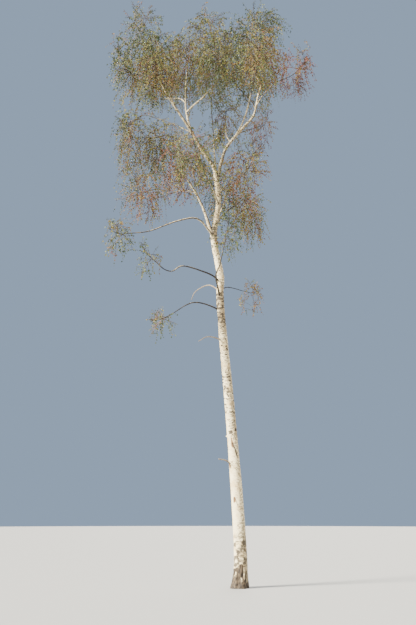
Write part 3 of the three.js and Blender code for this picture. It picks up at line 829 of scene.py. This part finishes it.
def birch_bark():
    """White papery bark in rings, with black marks, old furrowed bark, brown young bark and painted shade by
    the masks.
    """
    made, tree, shader = new_material("birch_bark", roughness=0.72, specular=0.35)
    place = attribute(tree, "bark_place", "Vector")
    broad = pattern(tree, place, (5, 5, 7))
    rings = pattern(tree, place, (5, 5, 75), detail=4)
    dashes = pattern(tree, place, (26, 26, 210), detail=2)
    flecks = pattern(tree, place, (60, 60, 90))
    ridges = pattern(tree, place, (60, 60, 9), detail=4)
    smears = pattern(tree, place, (16, 16, 26), detail=5, roughness=0.65)

    thin_dashes = stepped(tree, dashes, 0.66, 0.72, 0.75)
    # Smeared ochre wear, which also paints shade on the side away from the light
    wear_and_shade_smears = summed(tree, smears, summed(tree, attribute(tree, "worn"), 0.3, "MULTIPLY"))
    ragged = summed(tree, summed(tree, flecks, 0.5, "SUBTRACT"), 0.9, "MULTIPLY")
    # The black mask also holds painted shade, as broken streaks on the shaded side of boughs.
    brown, black, old = (summed(tree, attribute(tree, key), ragged) for key in ("brown", "black", "old"))
    black = stepped(tree, black, 0.3, 0.62, 0.92)
    old = stepped(tree, old, 0.3, 0.65)
    colour = layered(
        tree,
        WHITE_BARK,
        (stepped(tree, broad, 0.45, 0.68), PINK_BARK),
        (stepped(tree, rings, 0.55, 0.75, 0.45), GREY_BARK),
        (thin_dashes, BLACK_BARK),
        (stepped(tree, wear_and_shade_smears, 0.60, 0.76, 0.8), WEAR_AND_SHADE_BARK),
        (stepped(tree, brown, 0.25, 0.6), SCAR_BROWN),
        (black, BLACK_BARK),
        (old, colour_mix(tree, stepped(tree, ridges, 0.4, 0.62), OLD_BARK_DARK, OLD_BARK)),
        (stepped(tree, attribute(tree, "young"), 0.15, 0.85, 0.95), YOUNG_BARK),
    )
    tree.links.new(colour, shader["Base Color"])

    height = summed(tree, summed(tree, rings, thin_dashes), black)
    height = summed(tree, height, summed(tree, old, ridges, "MULTIPLY"))
    tree.links.new(bumped(tree, height, 0.5, 0.004), shader["Normal"])
    return made


def bleached_wood():
    """Dead wood without bark: tan, with fine dark cracks along it."""
    made, tree, shader = new_material("bleached_wood", roughness=0.8)
    place = attribute(tree, "bark_place", "Vector")
    broad = stepped(tree, pattern(tree, place, (20, 20, 12)), 0.4, 0.65)
    cracks = stepped(tree, pattern(tree, place, (160, 160, 9)), 0.56, 0.68, 0.8)
    tree.links.new(layered(tree, TAN_WOOD, (broad, DARK_TAN_WOOD), (cracks, CRACK)), shader["Base Color"])
    tree.links.new(bumped(tree, summed(tree, 1.0, cracks, "SUBTRACT"), 0.6, 0.002), shader["Normal"])
    return made


def twig_bark():
    """Dark purple-brown bark of the twigs, with pale warts."""
    made, tree, shader = new_material("twig_bark", roughness=0.65)
    place = add_node(tree, "ShaderNodeTexCoord").outputs["Object"]
    broad = stepped(tree, pattern(tree, place, (0.9, 0.9, 0.9)), 0.54, 0.68)
    warts = stepped(tree, pattern(tree, place, (150, 150, 150), detail=1), 0.68, 0.74, 0.6)
    tree.links.new(layered(tree, TWIG_BROWN, (broad, TWIG_RED), (warts, WART)), shader["Base Color"])
    return made


# Geometry node trees


def node_group(name, inputs):
    """An empty tree with named inputs, each a name and a kind of socket, with its ends."""
    tree = bpy.data.node_groups.new(name, "GeometryNodeTree")
    tree.interface.new_socket("Geometry", in_out="INPUT", socket_type="NodeSocketGeometry")
    for key, kind in inputs.items():
        tree.interface.new_socket(key, in_out="INPUT", socket_type=kind)
    tree.interface.new_socket("Geometry", in_out="OUTPUT", socket_type="NodeSocketGeometry")
    return tree, tree.nodes.new("NodeGroupInput").outputs, tree.nodes.new("NodeGroupOutput").inputs


def closing(tree, geometry, material, end):
    real = add_node(tree, "GeometryNodeRealizeInstances", {"Geometry": geometry})
    painted = add_node(tree, "GeometryNodeSetMaterial", {"Geometry": real.outputs[0], "Material": material})
    tree.links.new(painted.outputs[0], end)


def kept_value(tree, name, kind):
    made = add_node(tree, "GeometryNodeInputNamedAttribute", {"Name": name}, data_type=kind)
    return made.outputs["Attribute"]


def twig_growth():
    """Round twigs along a mesh's edges, as thick as its thickness attribute says."""
    tree, start, end = node_group(
        "twigs_along_edges", {"Sides": "NodeSocketInt", "Material": "NodeSocketMaterial"},
    )
    curves = add_node(tree, "GeometryNodeMeshToCurve", {"Mesh": start["Geometry"]})
    circle = add_node(tree, "GeometryNodeCurvePrimitiveCircle", {"Resolution": start["Sides"], "Radius": 1.0})
    swept = add_node(
        tree, "GeometryNodeCurveToMesh",
        {
            "Curve": curves.outputs[0], "Profile Curve": circle.outputs[0],
            "Scale": kept_value(tree, "thickness", "FLOAT"), "Fill Caps": True,
        },
    )
    closing(tree, swept.outputs[0], start["Material"], end["Geometry"])
    return tree


def leaf_growth():
    """A leaf on each point, turned as its turn attribute says, with a seeded spread of lengths."""
    tree, start, end = node_group(
        "leaves_on_points",
        {
            "Leaf": "NodeSocketObject", "Leaf Length": "NodeSocketFloat", "Length Spread": "NodeSocketFloat",
            "Seed": "NodeSocketInt", "Material": "NodeSocketMaterial",
        },
    )
    leaf = add_node(tree, "GeometryNodeObjectInfo", {"Object": start["Leaf"]})
    turn = kept_value(tree, "turn", "FLOAT_VECTOR")
    rotation = add_node(tree, "FunctionNodeEulerToRotation", {"Euler": turn})
    least = summed(tree, 1.0, start["Length Spread"], "SUBTRACT")
    most = summed(tree, 1.0, start["Length Spread"])
    chance = add_node(
        tree, "FunctionNodeRandomValue", {"Seed": start["Seed"], 2: least, 3: most}, data_type="FLOAT",
    )
    placed = add_node(
        tree, "GeometryNodeInstanceOnPoints",
        {
            "Points": start["Geometry"], "Instance": leaf.outputs["Geometry"],
            "Rotation": rotation.outputs[0],
            "Scale": summed(tree, chance.outputs[1], start["Leaf Length"], "MULTIPLY"),
        },
    )
    closing(tree, placed.outputs[0], start["Material"], end["Geometry"])
    return tree


def grown(name, mesh, tree, **values):
    """The plain mesh that a tree grows from a mesh, as an object at the origin."""
    made = linked(name, mesh)
    modifier = made.modifiers.new("growth", "NODES")
    modifier.node_group = tree
    wanted = {key.replace("_", " ").title(): value for key, value in values.items()}
    for item in tree.interface.items_tree:
        if item.in_out == "INPUT" and item.name in wanted:
            modifier[item.identifier] = wanted[item.name]
    depsgraph = bpy.context.evaluated_depsgraph_get()
    result = bpy.data.meshes.new_from_object(made.evaluated_get(depsgraph), depsgraph=depsgraph)
    made.modifiers.clear()
    made.data = result
    for left_over in ("thickness", "turn"):
        if left_over in result.attributes:
            result.attributes.remove(result.attributes[left_over])
    return made


# Growth of a mass

MODULUS = 2147483647
MULTIPLIER = 16807
FIRST_FACTOR = 7919

STEM = SimpleNamespace(tip_radius=0.007, reach=0.8, lift=0.6, straight=0.35, middle=0.3)
TWIG = SimpleNamespace(
    spacing=0.15, radius=0.009, tip_radius=0.004, reach=(0.8, 0.97), shorter=(1, 0.85, 0.7, 0.55), foot=0.5,
    foot_rise=0.36, foot_stray=(-0.06, 0.06), arch=0.28,
)
STEM_POINTS = 24
TWIG_POINTS = 12

# Side shoots leave the stem and the twigs, and whips hang from the side shoots. Pairs are ranges, but the
# radius is that at the foot and at the tip.
SHOOT = SimpleNamespace(
    spacing=0.040, start=0.10, length=(0.30, 1.00), onward=(0.2, 0.9), outward=(0.6, 1.1), upward=(-0.3, 0.7),
    uplift=0.9, droop=(0.1, 0.6), sway=0.035, points=6, radius=(0.0050, 0.0028), limit=(0.72, 1.10),
    thinning=0.6,
)
WHIP = SimpleNamespace(
    spacing=0.115, start=0.10, length=(0.28, 1.00), onward=(0.1, 0.6), outward=(0.25, 0.85),
    upward=(-1.9, 0.05), uplift=0.5, droop=(0.3, 0.9), sway=0.02, points=5, radius=(0.0028, 0.0013),
    limit=(0.72, 1.22), thinning=0.75,
)
SWAY_WAVES = 4.0
SHORTEST = 0.08
THINNING_FROM = 0.35
CROWDING = 0.6
TRIM_STEPS = 12
LIMB_ROOM = 0.012
WIDEST_LIMIT = 1.25
BOX_MARGIN = np.array([0.6, 0.6, 0.15])

PLACE_SPACING = 0.03
NEARBY = 0.2
HEADING_PART = 0.02
PLACE_STRAY = (0.2, 0.8)
SIDE_STRAY = 0.02
SIDE_TURN = 1.1

LEAF = SimpleNamespace(
    spacing=0.040, start=0.08, start_on_shoot=0.4, length=0.050, spread=0.25, room=0.02, stray=0.3,
    onward=0.35, outward=0.7, hang=(0.2, 1.2), face_stray=0.8, face_up=0.5,
)

# How a spray's tint is dealt: how fine and how strong the clumps are that turn together, with the number of
# their noise, how much greener the top is, and how far a spray strays. This share of the leaves has a tint of
# its own, up to so many steps off the spray's.
CLUMPS = ((1.3, 1.0, 8), (2.6, 0.5, 10))
CLUMP_TURN = 0.42
TOP_GREEN = 0.16
TINT_STRAY = 0.13
STRAY_LEAVES = 0.22
STRAY_STEPS = 2


def dice(seed):
    """The source's repeatable run of numbers: each call gives the next one, between low and high."""
    state = seed * FIRST_FACTOR

    def roll(low, high):
        nonlocal state
        state = state * MULTIPLIER % MODULUS
        return low + (high - low) * state / MODULUS

    return roll


def outness(points, mass):
    """How far out in a mass's space a point lies: 0 in the middle, 1 at the edge of its reach."""
    return np.linalg.norm((points - np.array(mass.centre)) / mass.reach, axis=-1)


def all_outness(points):
    return np.array([outness(points, mass) for mass in MASSES.values()])


def in_own_space(point, mass):
    own = outness(point, mass)
    return own < 1 and all(outness(point, other) > own for other in MASSES.values() if other is not mass)


def stem_curve(mass):
    """The stem carries on from the bough's tip and bends up towards the far top of the reach."""
    bough = LINES[mass.on]
    heading = bough.heading(1.0)
    start = bough.at(1.0)
    reach = np.array(mass.reach)
    centre = np.array(mass.centre)
    out = unit(unit(heading / reach) + UP * STEM.lift)
    end = centre + out * reach * STEM.reach
    bend = start + heading * STEM.straight * np.linalg.norm(end - start)
    return [start, bend, centre + (end - centre) * STEM.middle, end]


def twig_curves(mass, stem, roll):
    """Twigs that rise over from the stem and hang out to points spread evenly over the mass's reach."""
    centre = np.array(mass.centre)
    count = math.floor(sum(mass.reach) / 3 / TWIG.spacing + 0.5)
    turn = roll(0, 2 * math.pi)
    for i in range(count):
        rise = 1 - (2 * i + 1) / count
        bearing = turn + i * GOLDEN_ANGLE
        level = math.sqrt(1 - rise * rise)
        out = np.array([level * math.cos(bearing), level * math.sin(bearing), rise])
        far = out * mass.reach * roll(*TWIG.reach)
        foot = bezier(stem, TWIG.foot + TWIG.foot_rise * rise + roll(*TWIG.foot_stray))
        tips = (far * share + centre for share in TWIG.shorter)
        tip = next((point for point in tips if in_own_space(point, mass)), None)
        if tip is None:
            continue
        top = (foot + tip) / 2 + UP * TWIG.arch * np.linalg.norm(tip - foot)
        yield [foot, top, tip]


LIMB_PLACES = []
for name, line in LINES.items():
    share = np.linspace(0, 1, round(line.length / PLACE_SPACING))
    width = trunk_radius(share, line.at(share)[:, 2], 0.0) if name == "trunk" else bough_radius(name, share)
    LIMB_PLACES.append(np.column_stack([line.at(share), width]))
LIMB_PLACES = np.vstack(LIMB_PLACES)


def clear_of_limbs(points):
    """Whether each point is outside every limb."""
    centres = LIMB_PLACES[:, :3]
    beside = (centres > points.min(0) - NEARBY) & (centres < points.max(0) + NEARBY)
    near = LIMB_PLACES[beside.all(axis=1)]
    if not len(near):
        return np.ones(len(points), bool)
    away = np.linalg.norm(points[:, None] - near[None, :, :3], axis=-1) - near[None, :, 3]
    return away.min(axis=1) > LIMB_ROOM


class Shoots:
    """Thin shoots of one kind. Each leaves its foot along its heading, sways, and hangs under its weight."""

    def __init__(self, foot, heading, tint, kind, roll):
        count = len(foot)
        self.foot, self.heading, self.tint, self.kind = foot, heading, tint, kind
        self.span = roll.uniform(*kind.length, count)
        self.limit = roll.uniform(*kind.limit, count)
        self.length = self.span.copy()
        self.droop = roll.uniform(*kind.droop, count)
        self.sway = roll.normal(0, kind.sway, (count, 3))

    def at(self, owner, share):
        part = (share * self.length[owner] / self.span[owner])[..., None]
        reached = part * self.span[owner][..., None]
        sag = DOWN * self.droop[owner][..., None] * part * reached
        sway = self.sway[owner] * np.sin(SWAY_WAVES * part)
        return self.foot[owner] + self.heading[owner] * reached + sag + sway

    def heading_at(self, owner, share):
        return unit(self.at(owner, share + HEADING_PART) - self.at(owner, share - HEADING_PART))

    def all_at(self, shares):
        owner = np.repeat(np.arange(len(self.foot))[:, None], len(shares), axis=1)
        return self.at(owner, np.broadcast_to(shares, owner.shape))

    def trimmed(self, inside):
        """The same shoots, each only as far as it stays inside, without those that are then too short."""
        places = self.all_at(np.linspace(0, 1, TRIM_STEPS + 1))
        limit = np.repeat(self.limit[:, None], TRIM_STEPS + 1, axis=1)
        good = inside(places.reshape(-1, 3), limit.ravel()).reshape(places.shape[:2])
        good[:, 0] = True
        steps = np.cumprod(good, axis=1).sum(axis=1) - 1
        self.length = self.length * steps / TRIM_STEPS
        keep = self.length > SHORTEST
        for key in ("foot", "heading", "tint", "span", "limit", "length", "droop", "sway"):
            setattr(self, key, getattr(self, key)[keep])
        return self


def spaced(lengths, spacing, start, roll):
    """Places spread along many lengths: whose each one is, its share of the length, and its number there."""
    counts = np.floor((1 - start) * lengths / spacing + roll.random(len(lengths))).astype(int)
    owner = np.repeat(np.arange(len(lengths)), counts)
    order = np.arange(counts.sum()) - np.repeat(np.cumsum(counts) - counts, counts)
    stray = roll.uniform(*PLACE_STRAY, len(owner))
    return owner, start + (1 - start) * (order + stray) / np.maximum(counts[owner], 1), order


def thinned(points, share, full, roll):
    """Which of many places still carry something: fewer far out, and where masses grow into each other."""
    out = all_outness(points)
    far = smooth(out.min(axis=0), THINNING_FROM, 1.0)
    crowd = np.maximum((out < 1).sum(axis=0), 1) ** CROWDING
    return roll.random(len(points)) < full * (1 - share * far) / crowd


def rise_in(points, mass):
    """How high points lie in a mass's space, from -1 at its foot to 1 at its top."""
    return (points[:, 2] - mass.centre[2]) / mass.reach[2]


def either_side(along, order, stray, roll):
    """Level ways out, to either side in turn."""
    strays = roll.normal(0, stray, (len(along), 3))
    return unit(np.cross(along, UP) + strays) * np.where(order % 2, 1, -1)[:, None]


def branching(along, order, rise, kind, roll):
    """Headings of shoots that leave their carriers to either side in turn, and rise more near the top."""
    count = len(along)
    side = either_side(along, order, SIDE_STRAY, roll)
    turn = roll.uniform(-SIDE_TURN, SIDE_TURN, count)[:, None]
    around = side * np.cos(turn) + np.cross(side, along) * np.sin(turn)
    onward, outward, upward = (
        roll.uniform(*pair, count)[:, None] for pair in (kind.onward, kind.outward, kind.upward)
    )
    uplift = kind.uplift * np.clip(rise, 0, 1)[:, None]
    return unit(along * onward + around * outward + UP * (upward + uplift))


def tints_of(points, mass, roll):
    """Which tint a spray has: clumps turn together, the low parts before the high ones."""
    clump = sum(strength * grain(points * fineness, number) for fineness, strength, number in CLUMPS)
    stray = roll.normal(0, TINT_STRAY, len(points))
    ripe = mass.turned + CLUMP_TURN * clump - TOP_GREEN * rise_in(points, mass) + stray
    return np.clip((ripe * len(TINTS)).astype(int), 0, len(TINTS) - 1)


def leaf_turns(along, order, roll):
    """Euler angles of leaves that point out to either side in turn and hang."""
    count = len(along)
    side = either_side(along, order, LEAF.stray, roll)
    hang = DOWN * roll.uniform(*LEAF.hang, (count, 1))
    heading = unit(along * LEAF.onward + side * LEAF.outward + hang)
    facing = roll.normal(0, LEAF.face_stray, (count, 3)) + UP * LEAF.face_up
    width = unit(np.cross(facing, heading))
    face = np.cross(width, heading)
    return np.column_stack([
        np.arctan2(heading[:, 2], face[:, 2]),
        np.arcsin(np.clip(-width[:, 2], -1, 1)),
        np.arctan2(width[:, 1], width[:, 0]),
    ])


class Growth:
    """Everything that has grown in a region."""

    def __init__(self):
        self.stems, self.lines, self.thickness = [], [], []
        self.leaf_points, self.leaf_turns, self.leaf_tints = [], [], []

    def add_lines(self, points, thickness):
        self.lines.append(points)
        self.thickness.append(np.broadcast_to(thickness, points.shape[:2]))

    def add_shoots(self, shoots):
        kind = shoots.kind
        shares = np.linspace(0, 1, kind.points)
        foot, tip = kind.radius
        self.add_lines(shoots.all_at(shares), foot + (tip - foot) * shares)

    def add_leaves(self, shoots, start, inside, roll):
        owner, share, order = spaced(shoots.length, LEAF.spacing, start, roll)
        points = shoots.at(owner, share)
        turns = leaf_turns(shoots.heading_at(owner, share), order, roll)
        tints = shoots.tint[owner]
        stray = roll.random(len(owner)) < STRAY_LEAVES
        strayed = tints + roll.integers(-STRAY_STEPS, STRAY_STEPS + 1, len(owner))
        tints = np.where(stray, np.clip(strayed, 0, len(TINTS) - 1), tints)
        keep = inside(points, shoots.limit[owner] + LEAF.room)
        self.leaf_points.append(points[keep])
        self.leaf_turns.append(turns[keep])
        self.leaf_tints.append(tints[keep])


def grow_mass(number, mass, growth):
    stem = stem_curve(mass)
    lines = [Line(bezier(stem, np.linspace(0, 1, STEM_POINTS)))]
    growth.stems.append((lines[0], LIMBS[mass.on].radius[1], number))
    for curve in twig_curves(mass, stem, dice(number + 1)):
        line = Line(bezier(curve, np.linspace(0, 1, TWIG_POINTS)))
        if clear_of_limbs(line.points[2:]).all():
            lines.append(line)
            radius = np.linspace(TWIG.radius, TWIG.tip_radius, TWIG_POINTS)
            growth.add_lines(line.points[None], radius)

    roll = np.random.default_rng([SEED, 3, number])
    low, high = (np.array(corner) for corner in cad_box)

    def inside(points, limit):
        margin = BOX_MARGIN * (WIDEST_LIMIT - limit)[:, None]
        in_box = np.all((points > low + margin) & (points < high - margin), axis=-1)
        return (all_outness(points).min(axis=0) < limit) & in_box & clear_of_limbs(points)

    def on_lines(ask):
        return lambda owner, share: np.array([ask(lines[k], part) for k, part in zip(owner, share)])

    def sprout(lengths, at, heading_at, kind, full, tint_of):
        """Shoots of one kind, spread along many carriers."""
        owner, share, order = spaced(lengths, kind.spacing, kind.start, roll)
        foot = at(owner, share)
        heading = branching(heading_at(owner, share), order, rise_in(foot, mass), kind, roll)
        keep = thinned(foot, kind.thinning, full, roll)
        tint = tint_of(owner, foot)
        made = Shoots(foot[keep], heading[keep], tint[keep], kind, roll).trimmed(inside)
        growth.add_shoots(made)
        return made

    lengths = np.array([line.length for line in lines])
    shoots = sprout(
        lengths, on_lines(Line.at), on_lines(Line.heading), SHOOT, 1,
        lambda _, foot: tints_of(foot, mass, roll),
    )
    whips = sprout(
        shoots.length, shoots.at, shoots.heading_at, WHIP, mass.full, lambda owner, _: shoots.tint[owner],
    )
    growth.add_leaves(shoots, LEAF.start_on_shoot, inside, roll)
    growth.add_leaves(whips, LEAF.start, inside, roll)


def edge_mesh(name, lines, thickness):
    """A mesh of loose edges along many lines."""
    edges = []
    first = 0
    for group in lines:
        count, places = group.shape[:2]
        index = first + np.arange(count * places).reshape(count, places)
        edges.append(np.stack([index[:, :-1], index[:, 1:]], axis=-1).reshape(-1, 2))
        first += count * places
    points = np.vstack([group.reshape(-1, 3) for group in lines])
    widths = np.concatenate([width.ravel() for width in thickness])
    return new_mesh(name, points, np.vstack(edges).tolist(), thickness=widths)


def birch_leaf():
    """A leaf 1 long with its stalk's foot at the origin and its point along +Y, folded along its rib."""
    stalk, base = 0.012, 0.2
    low, high = (0.34, 0.38, 0.06), (0.25, 0.64, 0.04)
    tip = (0, 1, -0.07)
    points = [(-stalk, 0, 0), (stalk, 0, 0), (0, base, 0), tip]
    for side in (-1, 1):
        points += [(side * across, along, lift) for across, along, lift in (low, high)]
    faces = [(0, 1, 2), (2, 3, 5), (2, 5, 4), (2, 6, 7), (2, 7, 3)]
    return bpy.data.objects.new("birch_leaf", new_mesh("birch_leaf", points, faces=faces))


# View and light

# Where the camera stands, how far it is tilted up in degrees, the long side of its sensor in millimetres, and
# the photo's height and focal length in pixels
EYE = (-0.75, -16.0, 1.6)
PITCH = 17.1
SENSOR = 36.0
PHOTO_HEIGHT = 625
FOCAL_PIXELS = 655

BACKDROP = (0.30, 0.40, 0.55)
FLOOR_COLOUR = (0.36, 0.355, 0.34)
FLOOR_RADIUS = 80
FLOOR_SIDES = 96

# Soft lamps: name, direction towards it, strength, width in degrees and colour
LAMPS = (
    ("key", (-0.75, -0.34, 0.57), 20.0, 14, (1.0, 0.95, 0.83)),
    ("back", (0.35, 0.85, 0.40), 4.5, 60, (1.0, 0.96, 0.88)),
    ("fill", (0.60, -0.75, 0.22), 2.6, 60, (1.0, 0.90, 0.74)),
)


def set_view():
    data = bpy.data.cameras.new("photo_view")
    data.sensor_width = SENSOR
    data.lens = SENSOR * FOCAL_PIXELS / PHOTO_HEIGHT
    camera = linked("photo_view", data)
    camera.location = EYE
    camera.rotation_euler = (math.radians(90 + PITCH), 0, 0)
    bpy.context.scene.camera = camera


def set_light():
    world = bpy.data.worlds.new("plain_backdrop")
    world.use_nodes = True
    background = world.node_tree.nodes["Background"]
    background.inputs["Color"].default_value = (*BACKDROP, 1)
    background.inputs["Strength"].default_value = 1.0
    bpy.context.scene.world = world
    for name, towards, energy, angle, colour in LAMPS:
        lamp = bpy.data.lights.new(name, "SUN")
        lamp.energy = energy
        lamp.angle = math.radians(angle)
        lamp.color = colour
        holder = linked(name, lamp)
        holder.rotation_euler = Vector(towards).to_track_quat("Z", "Y").to_euler()


def add_floor():
    """A plain round floor that reaches far enough to meet the backdrop."""
    turns = np.linspace(0, 2 * math.pi, FLOOR_SIDES, endpoint=False)
    edge = [(FLOOR_RADIUS * math.cos(turn), FLOOR_RADIUS * math.sin(turn), 0) for turn in turns]
    mesh = new_mesh("floor", edge, faces=[tuple(range(len(edge)))])
    mesh.materials.append(plain_material("pale_floor", FLOOR_COLOUR, roughness=0.9))
    floor = linked("floor", mesh)


def settle(piece, slot, nodes):
    """Attaches a finished piece to its body and hides the solids that it stands for. The slot is not used."""
    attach(piece, BODY)
    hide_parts(*nodes)


def bough_skin(name, number):
    limb = LIMBS[name]
    return limb_skin(
        LINES[name], lambda share: bough_radius(name, share), number, spacing=0.017, marks_per_metre=24,
        sides=max(FEWEST_SIDES, round(2 * math.pi * limb.radius[0] / SIDE_WIDTH)), least_brown=limb.brown,
    )


def stem_skin(line, foot, number):
    return limb_skin(
        line, lambda share: foot + (STEM.tip_radius - foot) * share, STEM_NUMBERS + number, spacing=0.032,
        marks_per_metre=4, sides=8, least_brown=(0.45, 1.0),
    )


set_view()
set_light()
add_floor()

bark = birch_bark()
settle(joined_skins("trunk_bark", [trunk_skin()], bark), "bark", ["trunk"])
limb_numbers = {name: number for number, name in enumerate(LIMBS)}
for kind, piece in PIECES.items():
    names = [name for name, limb in LIMBS.items() if limb.kind == kind]
    skins = [bough_skin(name, limb_numbers[name]) for name in names]
    material, slot = (bleached_wood(), "dead_wood") if kind == "dead" else (bark, "bark")
    settle(joined_skins(piece, skins, material), slot, names)

growths = {}
for number, mass in enumerate(MASSES.values()):
    grow_mass(number, mass, growths.setdefault(mass.region, Growth()))

twigs_tree = twig_growth()
leaves_tree = leaf_growth()
leaf = birch_leaf()
twig_material = twig_bark()
leaf_materials = [
    plain_material(f"leaf_{tint.name}", tint.colour, roughness=0.75, specular=0.08) for tint in TINTS
]
for region, growth in growths.items():
    nodes = [f"foliage_{name}" for name, mass in MASSES.items() if mass.region == region]
    start = REGIONS[region]
    stems = [stem_skin(*stem) for stem in growth.stems]
    settle(joined_skins(f"{start}_stems", stems, bark), "bark", nodes)
    mesh = edge_mesh(f"{start}_twigs", growth.lines, growth.thickness)
    settle(grown(mesh.name, mesh, twigs_tree, sides=3, material=twig_material), "bark", nodes)
    points, turns, tints = (
        np.concatenate(part) for part in (growth.leaf_points, growth.leaf_turns, growth.leaf_tints)
    )
    for number, tint in enumerate(TINTS):
        chosen = tints == number
        if not chosen.any():
            continue
        mesh = new_mesh(f"{start}_leaves_{tint.name}", points[chosen], turn=turns[chosen])
        leaves = grown(
            mesh.name, mesh, leaves_tree, leaf=leaf, leaf_length=LEAF.length, length_spread=LEAF.spread,
            seed=number, material=leaf_materials[number],
        )
        settle(leaves, tint.slot, nodes)
bpy.data.objects.remove(leaf)
